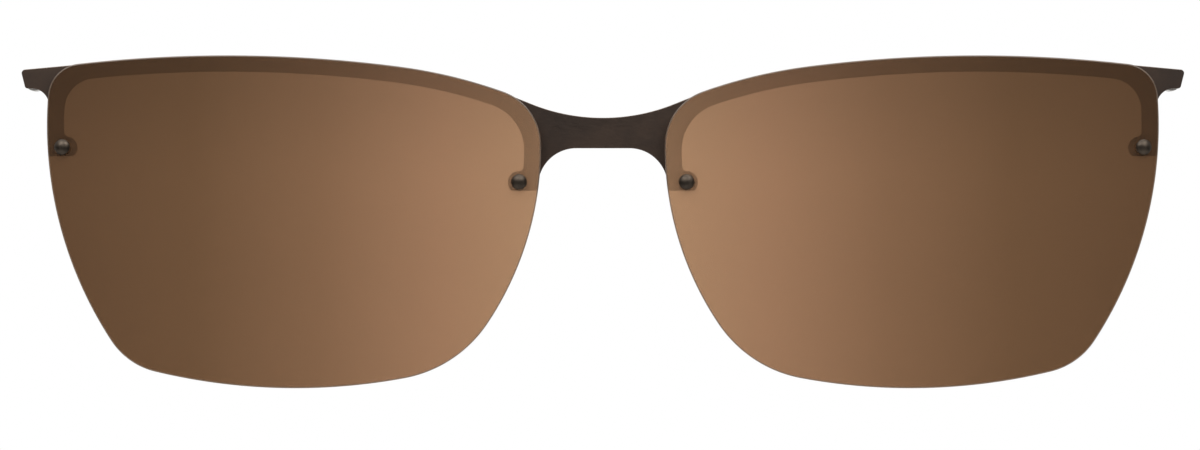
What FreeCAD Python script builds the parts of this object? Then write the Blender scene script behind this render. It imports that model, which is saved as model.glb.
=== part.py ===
"""Clip-on sun lens front for a pair of spectacles.

One stamped sheet-metal front (bridge, two half rims, two end tabs) carries two tinted lenses on
its front side. Each lens is held by two through-bolted fixings, and a magnet sits behind each
end tab. Millimetres. X runs to the wearer's left, +Y points to the wearer, +Z is up, and the
origin is the centre of the bridge's back face. Sides in names are the wearer's own.
"""
import math
import os
import re

import FreeCAD
import Part
import Sketcher
from FreeCAD import Placement, Rotation, Vector

doc = FreeCAD.newDocument("sun_clip")
sheet = doc.addObject("Spreadsheet::Sheet", "dims")

SIZES = {
    # lens, measured in its box: the smallest upright rectangle round it
    "nose_gap": 14.2,               # between the boxes of the two lenses
    "lens_width": 56.9,
    "lens_height": 38.23,
    "lens_top": 8.93,               # box top above the middle of the bridge
    "lens_thickness": 1.5,
    # each side of the lens is one long arc that touches its box side at one place
    "brow_arc": 154.0, "brow_touch": 36.3,       # from the box's nose side
    "lower_arc": 69.5, "lower_touch": 28.3,      # from the box's nose side
    "nose_arc": 36.3, "nose_touch": 10.6,        # below the box's top
    "temple_arc": 45.3, "temple_touch": 7.9,     # below the box's top
    # the brow curves more on the nose side of this place, from the box's nose side
    "shoulder_arc": 58.0, "shoulder_start": 16.3,
    "brow_nose_corner": 6.5, "lower_nose_corner": 14.7,
    "lower_temple_corner": 8.4, "brow_temple_corner": 3.9,
    # the sphere of each lens, with its centre behind the point where the bridge's curve starts
    "front_curve": 265.0,           # radius of the lens's front face
    "curve_start": 8.0,             # from the middle plane to each sphere's centre
    # sheet-metal front
    "metal_thickness": 0.8,
    "rim_inset": 0.1,               # half rim's outer edge inside the lens edge
    "rim_brow": 1.9, "rim_nose": 1.95, "rim_temple": 2.05,   # from the lens edge to the rim's inside
    "rim_nose_corner": 5.5, "rim_temple_corner": 3.6,
    "bridge_height": 3.5,
    "bridge_top_arc": 22.0, "bridge_fillet": 4.4,
    "bridge_top_end": 8.1,          # where the top arc turns into a straight run to the half rim
    "bridge_land": 11.2,            # where that run meets the half rim
    "tab_reach": 3.05,              # tip beyond the lens box
    "tab_height": 2.2, "tab_top": 1.55,         # tab_top: tip's upper corner below the lens box top
    "tab_slant": 0.45, "tab_fillet": 2.0, "tab_root": 7.0, "tab_round": 0.45,
    # eyelets, where the fixings go through
    "eyelet_radius": 1.3, "eyelet_tail": 0.97,
    "nose_eyelet_in": 2.5, "nose_eyelet_drop": 14.6,          # from the box's nose side and top
    "temple_eyelet_in": 2.3, "temple_eyelet_drop": 10.6,      # from the box's temple side and top
    # fixings
    "shank_radius": 0.5, "thread_clearance": 0.02, "hole_clearance": 0.05,
    "sleeve_wall": 0.12, "washer_radius": 0.84, "back_washer": 0.3, "front_washer": 0.2,
    "seat_clearance": 0.01,
    "nut_radius": 0.9, "nut_skirt": 0.28, "nut_dome": 0.45, "nut_roof": 0.25,
    "screw_head_radius": 0.9, "screw_head": 0.4, "screw_edge": 0.12,
    "slot_width": 0.26, "slot_depth": 0.18,
    # magnets
    "cup_radius": 1.1, "cup_wall": 0.2, "cup_floor": 0.25, "magnet_thickness": 1.0,
    "magnet_clearance": 0.02, "magnet_edge": 0.08,
    "magnet_in": 1.35,              # cup axis inside the tab's tip
    "magnet_drop": 1.35,            # cup axis below the tab tip's upper corner
}
for row, (alias, number) in enumerate(SIZES.items(), start=1):
    sheet.set(f"A{row}", alias)
    sheet.set(f"B{row}", str(number))
    sheet.setAlias(f"B{row}", alias)
doc.recompute()


def sized(expression):
    """An expression on the sheet's aliases, as the document's expressions spell it."""
    return re.sub(r"[a-z_]+", lambda word: f"dims.{word[0]}" if word[0] in SIZES else word[0], expression)


def value(expression):
    """The number that an expression on the sheet's aliases comes to."""
    return float(sheet.evalExpression(sized(expression)))


# Places that several pieces share, as expressions on the sheet.
LENS_NOSE = "(nose_gap / 2)"
LENS_TEMPLE = "(nose_gap / 2 + lens_width)"
LENS_BOTTOM = "(lens_top - lens_height)"
MID_HEIGHT = "(lens_top - lens_height / 2)"
TAB_TIP = f"({LENS_TEMPLE} + tab_reach)"
TAB_TOP = "(lens_top - tab_top)"
TAB_BOTTOM = f"({TAB_TOP} - tab_height)"
BLANK_EDGE = f"({TAB_TIP} + tab_reach)"      # curved blanks reach past everything cut from them
# Radii of the curved layers about each sphere's centre, and the centres' distance behind.
LENS_FRONT = "(front_curve)"
LENS_BACK = "(front_curve - lens_thickness)"
METAL_FRONT = f"({LENS_BACK} - back_washer)"
METAL_BACK = f"({METAL_FRONT} - metal_thickness)"
CURVE_AXIS = f"(sqrt({METAL_BACK} ^ 2 - {MID_HEIGHT} ^ 2))"
# Radii in a fixing, from the shank outwards.
METAL_HOLE = "(shank_radius + hole_clearance)"
SLEEVE_RADIUS = f"({METAL_HOLE} + sleeve_wall)"
LENS_HOLE = f"({SLEEVE_RADIUS} + hole_clearance)"
# Levels in a fixing, along its axis from the metal's back face.
LENS_BACK_LEVEL = "(metal_thickness + back_washer)"
LENS_FRONT_LEVEL = f"({LENS_BACK_LEVEL} + lens_thickness)"
NUT_LEVEL = f"({LENS_FRONT_LEVEL} + front_washer)"
NUT_BORE_END = f"({NUT_LEVEL} + nut_skirt + nut_dome - nut_roof)"

ENDS = ("nose", "temple")
SIDES = {"left": 1, "right": -1}
FRONT_VIEW = Rotation(Vector(1, 0, 0), 90)   # turns a sketch upright, seen from the front


def bind(sketch, constraint, expression):
    """Adds a dimension to a sketch and ties it to the sheet."""
    sketch.setExpression(f"Constraints[{sketch.addConstraint(constraint)}]", sized(expression))


def pin_point(sketch, edge, point, x, y=None):
    """Ties a point of an edge to its distances from the sketch's origin, or to x alone."""
    for kind, axis, expression in (("DistanceX", -2, x), ("DistanceY", -1, y)):
        if expression == "0":
            sketch.addConstraint(Sketcher.Constraint("PointOnObject", edge, point, axis))
        elif expression is not None:
            distance = value(expression)
            bind(sketch, Sketcher.Constraint(kind, -1, 1, edge, point, distance), expression)


def arc_between(start, end, radius):
    """Arc from start to end. A positive radius turns left on the way, a negative one right."""
    chord = end - start
    left = Vector(-chord.y, chord.x, 0).normalize()
    rise = math.sqrt(radius ** 2 - (chord.Length / 2) ** 2)
    centre = (start + end) / 2 + left * math.copysign(rise, radius)
    first, last = (start, end) if radius > 0 else (end, start)
    angles = [math.atan2(point.y - centre.y, point.x - centre.x) for point in (first, last)]
    return Part.ArcOfCircle(Part.Circle(centre, Vector(0, 0, 1), abs(radius)), *angles)


def draw_profile(sketch, steps):
    """Closed profile of straight and round edges. A step (x, y) ends a straight edge there, and
    (x, y, radius) ends an arc. The first edge starts where the last one ends."""
    corners = [Vector(value(step[0]), value(step[1]), 0) for step in steps]
    edges = []
    for number, step in enumerate(steps):
        start, end = corners[number - 1], corners[number]
        if len(step) == 2:
            edges.append((sketch.addGeometry(Part.LineSegment(start, end)), 1, 2))
        else:
            radius = value(step[2])
            edge = sketch.addGeometry(arc_between(start, end, radius))
            edges.append((edge, 1, 2) if radius > 0 else (edge, 2, 1))
    for number, step in enumerate(steps):
        edge, _, finish = edges[number]
        following, start, _ = edges[(number + 1) % len(steps)]
        sketch.addConstraint(Sketcher.Constraint("Coincident", edge, finish, following, start))
        pin_point(sketch, edge, finish, step[0], step[1])
        if len(step) == 3:
            size = f"abs({step[2]})"
            bind(sketch, Sketcher.Constraint("Radius", edge, value(size)), size)


def touching_point(one, two):
    """Where two circles touch, the smaller one inside the larger. Each is (centre, radius)."""
    small, big = sorted((one, two), key=lambda circle: circle[1])
    return big[0] + (small[0] - big[0]).normalize() * big[1]


def corner_centre(one, two, radius):
    """Centre of the corner arc that touches two side arcs from inside, on the way from one to
    two, counter-clockwise round the outline."""
    span = (two[0] - one[0]).Length
    ahead = (two[0] - one[0]) / span
    near, far = one[1] - radius, two[1] - radius
    along = (near ** 2 - far ** 2 + span ** 2) / (2 * span)
    return one[0] + ahead * along + Vector(-ahead.y, ahead.x, 0) * math.sqrt(near ** 2 - along ** 2)


def rim_outline(name, insets, nose_corner, temple_corner):
    """Outline of the lens, or of a half rim inside it: nine arcs, each tangent to the next.
    insets says how far each side lies inside the lens's own side."""
    brow_x = f"({LENS_NOSE} + brow_touch)"
    lean = "((shoulder_start - brow_touch) / brow_arc)"      # sine of the brow's slope there
    shoulder_x = f"{brow_x} + (brow_arc - shoulder_arc) * {lean}"
    shoulder_y = f"lens_top - brow_arc + (brow_arc - shoulder_arc) * sqrt(1 - {lean} ^ 2)"
    arcs = [    # (radius, centre x, centre y), and just (radius,) for a corner between two sides
        (f"(brow_arc - {insets['brow']})", brow_x, "lens_top - brow_arc"),
        (f"(shoulder_arc - {insets['brow']})", shoulder_x, shoulder_y),
        (nose_corner,),
        (f"(nose_arc - {insets['nose']})", f"{LENS_NOSE} + nose_arc", "lens_top - nose_touch"),
        (f"(lower_nose_corner - {insets['lower']})",),
        (f"(lower_arc - {insets['lower']})", f"{LENS_NOSE} + lower_touch",
         f"{LENS_BOTTOM} + lower_arc"),
        (f"(lower_temple_corner - {insets['lower']})",),
        (f"(temple_arc - {insets['temple']})", f"{LENS_TEMPLE} - temple_arc",
         "lens_top - temple_touch"),
        (temple_corner,),
    ]
    circles = [(Vector(value(arc[1]), value(arc[2]), 0) if len(arc) == 3 else None, value(arc[0]))
               for arc in arcs]
    for number, (centre, radius) in enumerate(circles):
        if centre is None:
            before, after = circles[number - 1], circles[(number + 1) % len(circles)]
            circles[number] = (corner_centre(before, after, radius), radius)

    sketch = doc.addObject("Sketcher::SketchObject", name)
    sketch.Placement = Placement(Vector(), FRONT_VIEW)
    for number, (centre, radius) in enumerate(circles):
        start = touching_point(circles[number - 1], circles[number]) - centre
        end = touching_point(circles[number], circles[(number + 1) % len(circles)]) - centre
        angles = [math.atan2(point.y, point.x) for point in (start, end)]
        sketch.addGeometry(Part.ArcOfCircle(Part.Circle(centre, Vector(0, 0, 1), radius), *angles))
    for edge in range(len(arcs)):
        following = (edge + 1) % len(arcs)
        sketch.addConstraint(Sketcher.Constraint("Tangent", edge, 2, following, 1))
    for edge, arc in enumerate(arcs):
        bind(sketch, Sketcher.Constraint("Radius", edge, value(arc[0])), arc[0])
        if arc[1:] == (shoulder_x, shoulder_y):
            pin_point(sketch, edge, 3, shoulder_x)      # its height follows from the brow arc
        elif len(arc) == 3:
            pin_point(sketch, edge, 3, arc[1], arc[2])
    return sketch


def front_sketch(name, steps):
    sketch = doc.addObject("Sketcher::SketchObject", name)
    sketch.Placement = Placement(Vector(), FRONT_VIEW)
    draw_profile(sketch, steps)
    return sketch


def through_block(name, sketch):
    """The area of a front-view sketch, as a block that runs right through from front to back."""
    block = doc.addObject("Part::Extrusion", name)
    block.Base = sketch
    block.DirMode = "Normal"
    block.Solid = True
    block.Symmetric = True
    block.setExpression("LengthFwd", sized("lens_width"))
    return block


def join(name, shapes):
    joined = doc.addObject("Part::MultiFuse", name)
    joined.Shapes = shapes
    return joined


def cut(name, base, tool):
    result = doc.addObject("Part::Cut", name)
    result.Base, result.Tool = base, tool
    return result


def overlap(name, base, tool):
    result = doc.addObject("Part::Common", name)
    result.Base, result.Tool = base, tool
    return result


def mirrored(name, source):
    """The same shape on the other side of the middle plane."""
    other = doc.addObject("Part::Mirroring", name)
    other.Source = source
    other.Normal = Vector(1, 0, 0)
    return other


def curved_blank(name, steps):
    """Curved sheet that a piece is cut from. Its profile lies level with the middle of the lens,
    drawn from the spheres' axis, and is spun about that axis."""
    profile = doc.addObject("Sketcher::SketchObject", f"{name}_profile")
    blank = doc.addObject("Part::Revolution", name)
    for item, base in ((profile, "Placement.Base"), (blank, "Base")):
        item.setExpression(f"{base}.y", sized(CURVE_AXIS))
        item.setExpression(f"{base}.z", sized(MID_HEIGHT))
    draw_profile(profile, steps)
    blank.Source = profile
    blank.Axis = Vector(1, 0, 0)
    blank.setExpression("Angle", sized("2 * asin(lens_height / front_curve)"))
    blank.Symmetric = True
    blank.Solid = True
    return blank


def depth_at(radius, x):
    """Where a layer of this radius crosses the profile's plane, x from the middle plane."""
    return f"(-sqrt({radius} ^ 2 - ({x} - curve_start) ^ 2))"


def on_surface(x, z, side):
    """Place on the metal's back face where the front view shows (x, z), its Z axis along the
    normal towards the front. side is 1 for the wearer's left half and -1 for the right."""
    centre = Vector(side * value("curve_start"), value(CURVE_AXIS), value(MID_HEIGHT))
    aside, rise = side * x - centre.x, z - centre.z
    middle = value(f"({METAL_FRONT} + {METAL_BACK}) / 2")
    normal = Vector(aside, -math.sqrt(middle ** 2 - aside ** 2 - rise ** 2), rise) / middle
    turn = Rotation(Vector(1, 0, 0), Vector(0, 0, 1), normal, "ZXY")
    return Placement(centre + normal * value(METAL_BACK), turn)


EYELET_X = {"nose": f"{LENS_NOSE} + nose_eyelet_in", "temple": f"{LENS_TEMPLE} - temple_eyelet_in"}
EYELET_Z = {end: f"lens_top - {end}_eyelet_drop" for end in ENDS}
EYELET_PLACE = {(end, name): on_surface(value(EYELET_X[end]), value(EYELET_Z[end]), side)
                for end in ENDS for name, side in SIDES.items()}


def drills(name, radius):
    """Both of the left half's fixing holes, as one cutter of two round rods."""
    rods = []
    for end in ENDS:
        rod = doc.addObject("Part::Cylinder", f"{name}_{end}")
        rod.setExpression("Radius", sized(radius))
        rod.setExpression("Height", sized("lens_height"))
        halfway = Placement(Vector(0, 0, -value("lens_height") / 2), Rotation())
        rod.Placement = EYELET_PLACE[end, "left"].multiply(halfway)
        rods.append(rod)
    return join(name, rods)


nodes = {}


def keep(label, piece):
    """Registers a finished piece under the name of its file."""
    piece.Label = label
    nodes[label] = piece


# Lenses: a spherical shell cut to the lens's outline, with the holes of its two fixings.
def make_lenses():
    no_insets = dict.fromkeys(("brow", "nose", "lower", "temple"), "0")
    outline = rim_outline("lens_outline", no_insets, "brow_nose_corner", "brow_temple_corner")
    blank = curved_blank("lens_blank", [
        ("0", depth_at(LENS_BACK, "0"), f"(-{LENS_BACK})"),
        ("0", depth_at(LENS_FRONT, "0")),
        (BLANK_EDGE, depth_at(LENS_FRONT, BLANK_EDGE), LENS_FRONT),
        (BLANK_EDGE, depth_at(LENS_BACK, BLANK_EDGE)),
    ])
    shaped = overlap("lens_shaped", through_block("lens_block", outline), blank)
    lens = cut("lens", shaped, drills("lens_holes", LENS_HOLE))
    keep("lens_left", lens)
    keep("lens_right", mirrored("other_lens", lens))


# Front frame: bridge, half rims with their eyelets, and end tabs, stamped from one curved sheet.
def half_rim_block():
    near = dict.fromkeys(("brow", "nose", "lower", "temple"), "rim_inset")
    outer = rim_outline("rim_outside", near, "(brow_nose_corner - rim_inset)",
                        "(brow_temple_corner - rim_inset)")
    far = {"brow": "rim_brow", "nose": "rim_nose", "lower": "rim_brow", "temple": "rim_temple"}
    inner = rim_outline("rim_inside", far, "rim_nose_corner", "rim_temple_corner")
    return cut("rim_ring", through_block("rim_outside_block", outer),
               through_block("rim_inside_block", inner))


def eyelet_block(end):
    disc = doc.addObject("Part::Cylinder", f"{end}_eyelet")
    disc.setExpression("Radius", sized("eyelet_radius"))
    disc.setExpression("Height", sized("lens_width"))
    disc.Placement = Placement(Vector(), FRONT_VIEW)
    disc.setExpression("Placement.Base.x", sized(EYELET_X[end]))
    disc.setExpression("Placement.Base.y", sized("lens_width / 2"))
    disc.setExpression("Placement.Base.z", sized(EYELET_Z[end]))
    return disc


def leg_trim(end, start):
    """Box that takes away half of the ring below one leg, from start to start + lens_width."""
    trim = doc.addObject("Part::Box", f"{end}_trim")
    for side in ("Length", "Width", "Height"):
        trim.setExpression(side, sized("lens_width"))
    trim.setExpression("Placement.Base.x", sized(start))
    trim.setExpression("Placement.Base.y", sized("-lens_width / 2"))
    trim.setExpression("Placement.Base.z", sized(f"{EYELET_Z[end]} - eyelet_tail - lens_width"))
    return trim


def edge_fillet(end, level, radius):
    """Hollow fillet between a level edge and the half rim's nose or temple side, which it
    touches. Returns where it leaves the level edge (x) and where it meets the rim (x and z)."""
    away = "-" if end == "nose" else "+"
    side = f"({end}_arc - rim_inset)"
    side_x = f"{LENS_NOSE} + nose_arc" if end == "nose" else f"{LENS_TEMPLE} - temple_arc"
    rise = f"({level} - {radius} - lens_top + {end}_touch)"
    reach = f"sqrt(({side} + {radius}) ^ 2 - {rise} ^ 2)"
    share = f"({side} / ({side} + {radius}))"
    meet_x = f"({side_x} {away} {reach} * {share})"
    meet_z = f"(lens_top - {end}_touch + {rise} * {share})"
    return f"({side_x} {away} {reach})", meet_x, meet_z


def tab_block():
    root = f"({LENS_TEMPLE} - tab_root)"
    root_drop = f"(brow_arc - sqrt(brow_arc ^ 2 - ({root} - {LENS_NOSE} - brow_touch) ^ 2))"
    start, foot_x, foot_z = edge_fillet("temple", TAB_BOTTOM, "tab_fillet")
    return through_block("tab_block", front_sketch("tab_outline", [
        (root, f"lens_top - rim_inset - {root_drop}"),
        (root, f"lens_top - rim_brow - {root_drop} + rim_inset"),
        (f"{LENS_TEMPLE} - rim_temple", f"{TAB_TOP} - rim_brow / 2"),
        (f"{LENS_TEMPLE} - rim_temple / 2", foot_z),
        (foot_x, foot_z),
        (start, TAB_BOTTOM, "(-tab_fillet)"),
        (f"{TAB_TIP} - tab_slant", TAB_BOTTOM),
        (TAB_TIP, f"{TAB_TOP} - tab_round"),
        (f"{TAB_TIP} - tab_round", TAB_TOP, "tab_round"),
    ]))


def bridge_block():
    half = "(bridge_height / 2)"
    sag = "sqrt(bridge_top_arc ^ 2 - bridge_top_end ^ 2)"
    top_height = f"({half} + bridge_top_arc - {sag})"
    land_height = f"({top_height} + (bridge_land - bridge_top_end) * bridge_top_end / {sag})"
    in_rim = f"({LENS_NOSE} + rim_nose / 2)"
    start, foot_x, foot_z = edge_fillet("nose", f"(-{half})", "bridge_fillet")
    return through_block("bridge_block", front_sketch("bridge_outline", [
        (start, f"-{half}"),
        (foot_x, foot_z, "(-bridge_fillet)"),
        (in_rim, foot_z),
        (in_rim, "0"),
        ("bridge_land", land_height),
        ("bridge_top_end", top_height),
        ("-bridge_top_end", top_height, "(-bridge_top_arc)"),
        ("-bridge_land", land_height),
        (f"-{in_rim}", "0"),
        (f"-{in_rim}", foot_z),
        (f"-{foot_x}", foot_z),
        (f"-{start}", f"-{half}", "(-bridge_fillet)"),
    ]))


def make_front():
    middle = f"{LENS_NOSE} + lens_width / 2"
    trims = join("leg_trims", [leg_trim("nose", f"{middle} - lens_width"), leg_trim("temple", middle)])
    solid_half = join("half_solid", [half_rim_block(), eyelet_block("nose"), eyelet_block("temple")])
    half = join("half_block", [cut("half_trimmed", solid_half, trims), tab_block()])
    plan = join("front_block", [half, mirrored("other_half", half), bridge_block()])
    blank = curved_blank("metal_blank", [
        ("curve_start", f"(-{METAL_FRONT})"),
        (BLANK_EDGE, depth_at(METAL_FRONT, BLANK_EDGE), METAL_FRONT),
        (BLANK_EDGE, depth_at(METAL_BACK, BLANK_EDGE)),
        ("curve_start", f"(-{METAL_BACK})", f"(-{METAL_BACK})"),
        ("-curve_start", f"(-{METAL_BACK})"),
        (f"-{BLANK_EDGE}", depth_at(METAL_BACK, BLANK_EDGE), f"(-{METAL_BACK})"),
        (f"-{BLANK_EDGE}", depth_at(METAL_FRONT, BLANK_EDGE)),
        ("-curve_start", f"(-{METAL_FRONT})", METAL_FRONT),
    ])
    holes = drills("metal_holes", METAL_HOLE)
    all_holes = join("front_holes", [holes, mirrored("other_holes", holes)])
    keep("front_frame", cut("front", overlap("front_sheet", plan, blank), all_holes))


def turned(label, steps, place):
    """Body of a half profile (distance from the axis, level along it) spun about its Z axis."""
    body = doc.addObject("PartDesign::Body", label)
    upright = next(item for item in body.Origin.OriginFeatures if item.Role == "XZ_Plane")
    sketch = body.newObject("Sketcher::SketchObject", f"{label}_profile")
    sketch.AttachmentSupport = [(upright, "")]
    sketch.MapMode = "FlatFace"
    draw_profile(sketch, steps)
    spin = body.newObject("PartDesign::Revolution", f"{label}_spin")
    spin.Profile = sketch
    spin.ReferenceAxis = (sketch, ["V_Axis"])
    spin.Angle = 360
    body.Tip = spin
    body.Placement = place
    keep(label, body)
    return body


def ring_steps(inside, outside, low, high):
    return [(inside, low), (outside, low), (outside, high), (inside, high)]


# Fixing: a slotted screw from behind goes through the eyelet, a clear washer, the sleeve in the
# lens and a clear washer into a domed cap nut on the lens's front.
def make_fixing(end, side):
    place = EYELET_PLACE[end, side]
    where = f"{end}_{side}"
    turned(f"washer_back_{where}", ring_steps(
        METAL_HOLE, "washer_radius", "metal_thickness + seat_clearance",
        f"{LENS_BACK_LEVEL} - seat_clearance"), place)
    turned(f"lens_sleeve_{where}", ring_steps(
        METAL_HOLE, SLEEVE_RADIUS, LENS_BACK_LEVEL, LENS_FRONT_LEVEL), place)
    turned(f"washer_front_{where}", ring_steps(
        METAL_HOLE, "washer_radius", f"{LENS_FRONT_LEVEL} + seat_clearance", NUT_LEVEL), place)

    bore = "(shank_radius + thread_clearance)"
    turned(f"cap_nut_{where}", [
        (bore, NUT_LEVEL),
        ("nut_radius", NUT_LEVEL),
        ("nut_radius", f"{NUT_LEVEL} + nut_skirt"),
        ("0", f"{NUT_LEVEL} + nut_skirt + nut_dome",
         "((nut_radius ^ 2 + nut_dome ^ 2) / (2 * nut_dome))"),
        ("0", NUT_BORE_END),
        (bore, NUT_BORE_END),
    ], place)
    screw = turned(f"screw_{where}", [
        ("0", "-screw_head"),
        ("screw_head_radius - screw_edge", "-screw_head"),
        ("screw_head_radius", "-screw_head + screw_edge"),
        ("screw_head_radius", "-seat_clearance"),
        ("shank_radius", "-seat_clearance"),
        ("shank_radius", f"{NUT_BORE_END} - hole_clearance"),
        ("0", f"{NUT_BORE_END} - hole_clearance"),
    ], place)
    cut_slot(screw)


def cut_slot(screw):
    """Driver slot across the screw's head."""
    level = next(item for item in screw.Origin.OriginFeatures if item.Role == "XY_Plane")
    sketch = screw.newObject("Sketcher::SketchObject", f"{screw.Name}_slot_outline")
    sketch.AttachmentSupport = [(level, "")]
    sketch.MapMode = "FlatFace"
    sketch.setExpression("AttachmentOffset.Base.z", sized("-screw_head"))
    across, half = "screw_head_radius", "slot_width / 2"
    draw_profile(sketch, [(f"-{across}", f"-{half}"), (across, f"-{half}"),
                          (across, half), (f"-{across}", half)])
    slot = screw.newObject("PartDesign::Pocket", f"{screw.Name}_slot")
    slot.Profile = sketch
    slot.setExpression("Length", sized("slot_depth"))
    slot.Reversed = True
    screw.Tip = slot


# Magnet: a short disc in a turned cup, soldered to the back of each end tab.
def make_magnet(name, side):
    place = on_surface(value(f"{TAB_TIP} - magnet_in"), value(f"{TAB_TOP} - magnet_drop"), side)
    floor = "(-seat_clearance - cup_floor)"
    rim = f"({floor} - magnet_thickness + magnet_edge)"
    pocket = "(cup_radius - cup_wall)"
    turned(f"magnet_cup_{name}", [
        ("0", floor), (pocket, floor), (pocket, rim), ("cup_radius", rim),
        ("cup_radius", "-seat_clearance"), ("0", "-seat_clearance"),
    ], place)
    disc = f"({pocket} - magnet_clearance)"
    face = f"({floor} - magnet_clearance - magnet_thickness)"
    turned(f"magnet_{name}", [
        ("0", face), (f"{disc} - magnet_edge", face), (disc, f"{face} + magnet_edge"),
        (disc, f"{floor} - magnet_clearance"), ("0", f"{floor} - magnet_clearance"),
    ], place)


make_front()
make_lenses()
for side_name, side_sign in SIDES.items():
    for end_name in ENDS:
        make_fixing(end_name, side_name)
    make_magnet(side_name, side_sign)
doc.recompute()

for item in doc.Objects:
    if {"Invalid", "Error"} & set(item.State):
        raise RuntimeError(f"{item.Name} did not build: {item.State}")
for label, piece in nodes.items():
    if piece.Shape.isNull() or not piece.Shape.isValid():
        raise RuntimeError(f"{label} is empty or not valid")
    if len(piece.Shape.Solids) != 1:
        raise RuntimeError(f"{label} has {len(piece.Shape.Solids)} solids, not one")

os.makedirs("parts", exist_ok=True)
for label, piece in nodes.items():
    piece.Shape.exportStep(f"parts/{label}.step")
    box = piece.Shape.BoundBox
    print(f"{label}: {piece.Shape.Volume:.3f} mm3, x {box.XMin:.2f} to {box.XMax:.2f}, "
          f"y {box.YMin:.2f} to {box.YMax:.2f}, z {box.ZMin:.2f} to {box.ZMax:.2f}")
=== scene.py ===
"""Clip-on sun lens front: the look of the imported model, in metres and in its frame.

X runs to the wearer's left, +Y points to the wearer, +Z is up. Sizes below are in millimetres
and become metres where a mesh is made. Sides in names are the wearer's own.
"""
import math

import bpy
import numpy as np
from mathutils import Euler, Matrix, Vector
from mathutils.geometry import delaunay_2d_cdt


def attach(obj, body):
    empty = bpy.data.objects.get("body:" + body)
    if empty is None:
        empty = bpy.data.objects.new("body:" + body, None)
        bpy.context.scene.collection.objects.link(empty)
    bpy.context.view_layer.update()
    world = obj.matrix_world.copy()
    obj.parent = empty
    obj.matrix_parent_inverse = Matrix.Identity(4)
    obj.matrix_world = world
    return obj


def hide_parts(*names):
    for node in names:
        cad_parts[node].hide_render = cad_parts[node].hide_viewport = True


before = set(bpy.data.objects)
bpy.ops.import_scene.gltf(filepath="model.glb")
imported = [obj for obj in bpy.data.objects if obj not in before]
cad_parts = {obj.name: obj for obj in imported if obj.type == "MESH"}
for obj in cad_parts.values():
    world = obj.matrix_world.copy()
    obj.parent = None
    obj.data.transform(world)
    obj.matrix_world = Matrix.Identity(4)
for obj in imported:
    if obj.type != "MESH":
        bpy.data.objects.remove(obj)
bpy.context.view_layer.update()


# ---- Lenses -----------------------------------------------------------------------------------
# Two brown sun lenses of cast resin. Each is a 1.5 mm shell of a sphere, milled to its outline
# with a ground edge and drilled for two fixings. Their outline is nine arcs, each tangent to the
# next, and the metal behind follows the same outline.
MM = 0.001
LENS_NOSE, LENS_TEMPLE, LENS_TOP, LENS_BOTTOM = 7.1, 64.0, 8.93, -29.3     # the left lens's box
BROW, SHOULDER, LOWER, NOSE_SIDE, TEMPLE_SIDE = 154.0, 58.0, 69.5, 36.3, 45.3      # side arcs
BROW_TOUCH, SHOULDER_START, LOWER_TOUCH = 36.3, 16.3, 28.3      # from the box's nose side
NOSE_TOUCH, TEMPLE_TOUCH = 10.6, 7.9                            # below the box's top
BROW_NOSE, LOWER_NOSE, LOWER_TEMPLE, BROW_TEMPLE = 6.5, 14.7, 8.4, 3.9     # corner arcs
SPHERE_X, SPHERE_Y, SPHERE_Z = 8.0, 262.202, -10.185    # centre of the left lens's sphere
LENS_BACK, LENS_FRONT = 263.5, 265.0            # radii of the faces about that centre
METAL_BACK, METAL_FRONT = 262.4, 263.2
FINE = 0.02                     # spacing of the points that outlines are worked out on


def corner_circle(one, two, radius):
    """Circle that touches two larger ones from inside, on the way from one to two."""
    ahead = two[0] - one[0]
    span = np.hypot(*ahead)
    ahead = ahead / span
    near, far = one[1] - radius, two[1] - radius
    along = (near ** 2 - far ** 2 + span ** 2) / (2 * span)
    aside = np.array([-ahead[1], ahead[0]]) * math.sqrt(near ** 2 - along ** 2)
    return one[0] + ahead * along + aside, radius


def arc(centre, radius, start, end):
    """Points along a circle from start to end, counter-clockwise."""
    first, last = (math.atan2(point[1] - centre[1], point[0] - centre[0])
                   for point in (start, end))
    sweep = (last - first) % (2 * math.pi)
    angles = first + np.linspace(0, sweep, max(int(sweep * radius / FINE), 2))
    return np.array(centre) + radius * np.stack([np.cos(angles), np.sin(angles)], axis=1)


def nose_circle(inset):
    """Circle of the outline's nose side, that far inside the lens's own."""
    return np.array([LENS_NOSE + NOSE_SIDE, LENS_TOP - NOSE_TOUCH]), NOSE_SIDE - inset


def temple_circle(inset):
    """Circle of the outline's temple side, that far inside the lens's own."""
    return np.array([LENS_TEMPLE - TEMPLE_SIDE, LENS_TOP - TEMPLE_TOUCH]), TEMPLE_SIDE - inset


def rim_outline(brow, nose, temple, nose_corner, temple_corner):
    """Closed line, counter-clockwise, each side that far inside the lens's own side. A circle
    stands for each side, and the radius alone for each corner between two sides."""
    lean = (SHOULDER_START - BROW_TOUCH) / BROW
    shoulder = (BROW - SHOULDER) * np.array([lean, math.sqrt(1 - lean ** 2)])
    brow_centre = np.array([LENS_NOSE + BROW_TOUCH, LENS_TOP - BROW])
    circles = [
        (brow_centre, BROW - brow),
        (brow_centre + shoulder, SHOULDER - brow),
        nose_corner,
        nose_circle(nose),
        LOWER_NOSE - brow,
        (np.array([LENS_NOSE + LOWER_TOUCH, LENS_BOTTOM + LOWER]), LOWER - brow),
        LOWER_TEMPLE - brow,
        temple_circle(temple),
        temple_corner,
    ]
    count = len(circles)
    for number, circle in enumerate(circles):
        if not isinstance(circle, tuple):
            circles[number] = corner_circle(circles[number - 1], circles[(number + 1) % count],
                                            circle)
    touches = []
    for number in range(count):
        small, big = sorted((circles[number - 1], circles[number]), key=lambda circle: circle[1])
        away = small[0] - big[0]
        touches.append(big[0] + away / np.hypot(*away) * big[1])
    return np.concatenate([
        arc(*circles[number], touches[number], touches[(number + 1) % count])[:-1]
        for number in range(count)])


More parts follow.
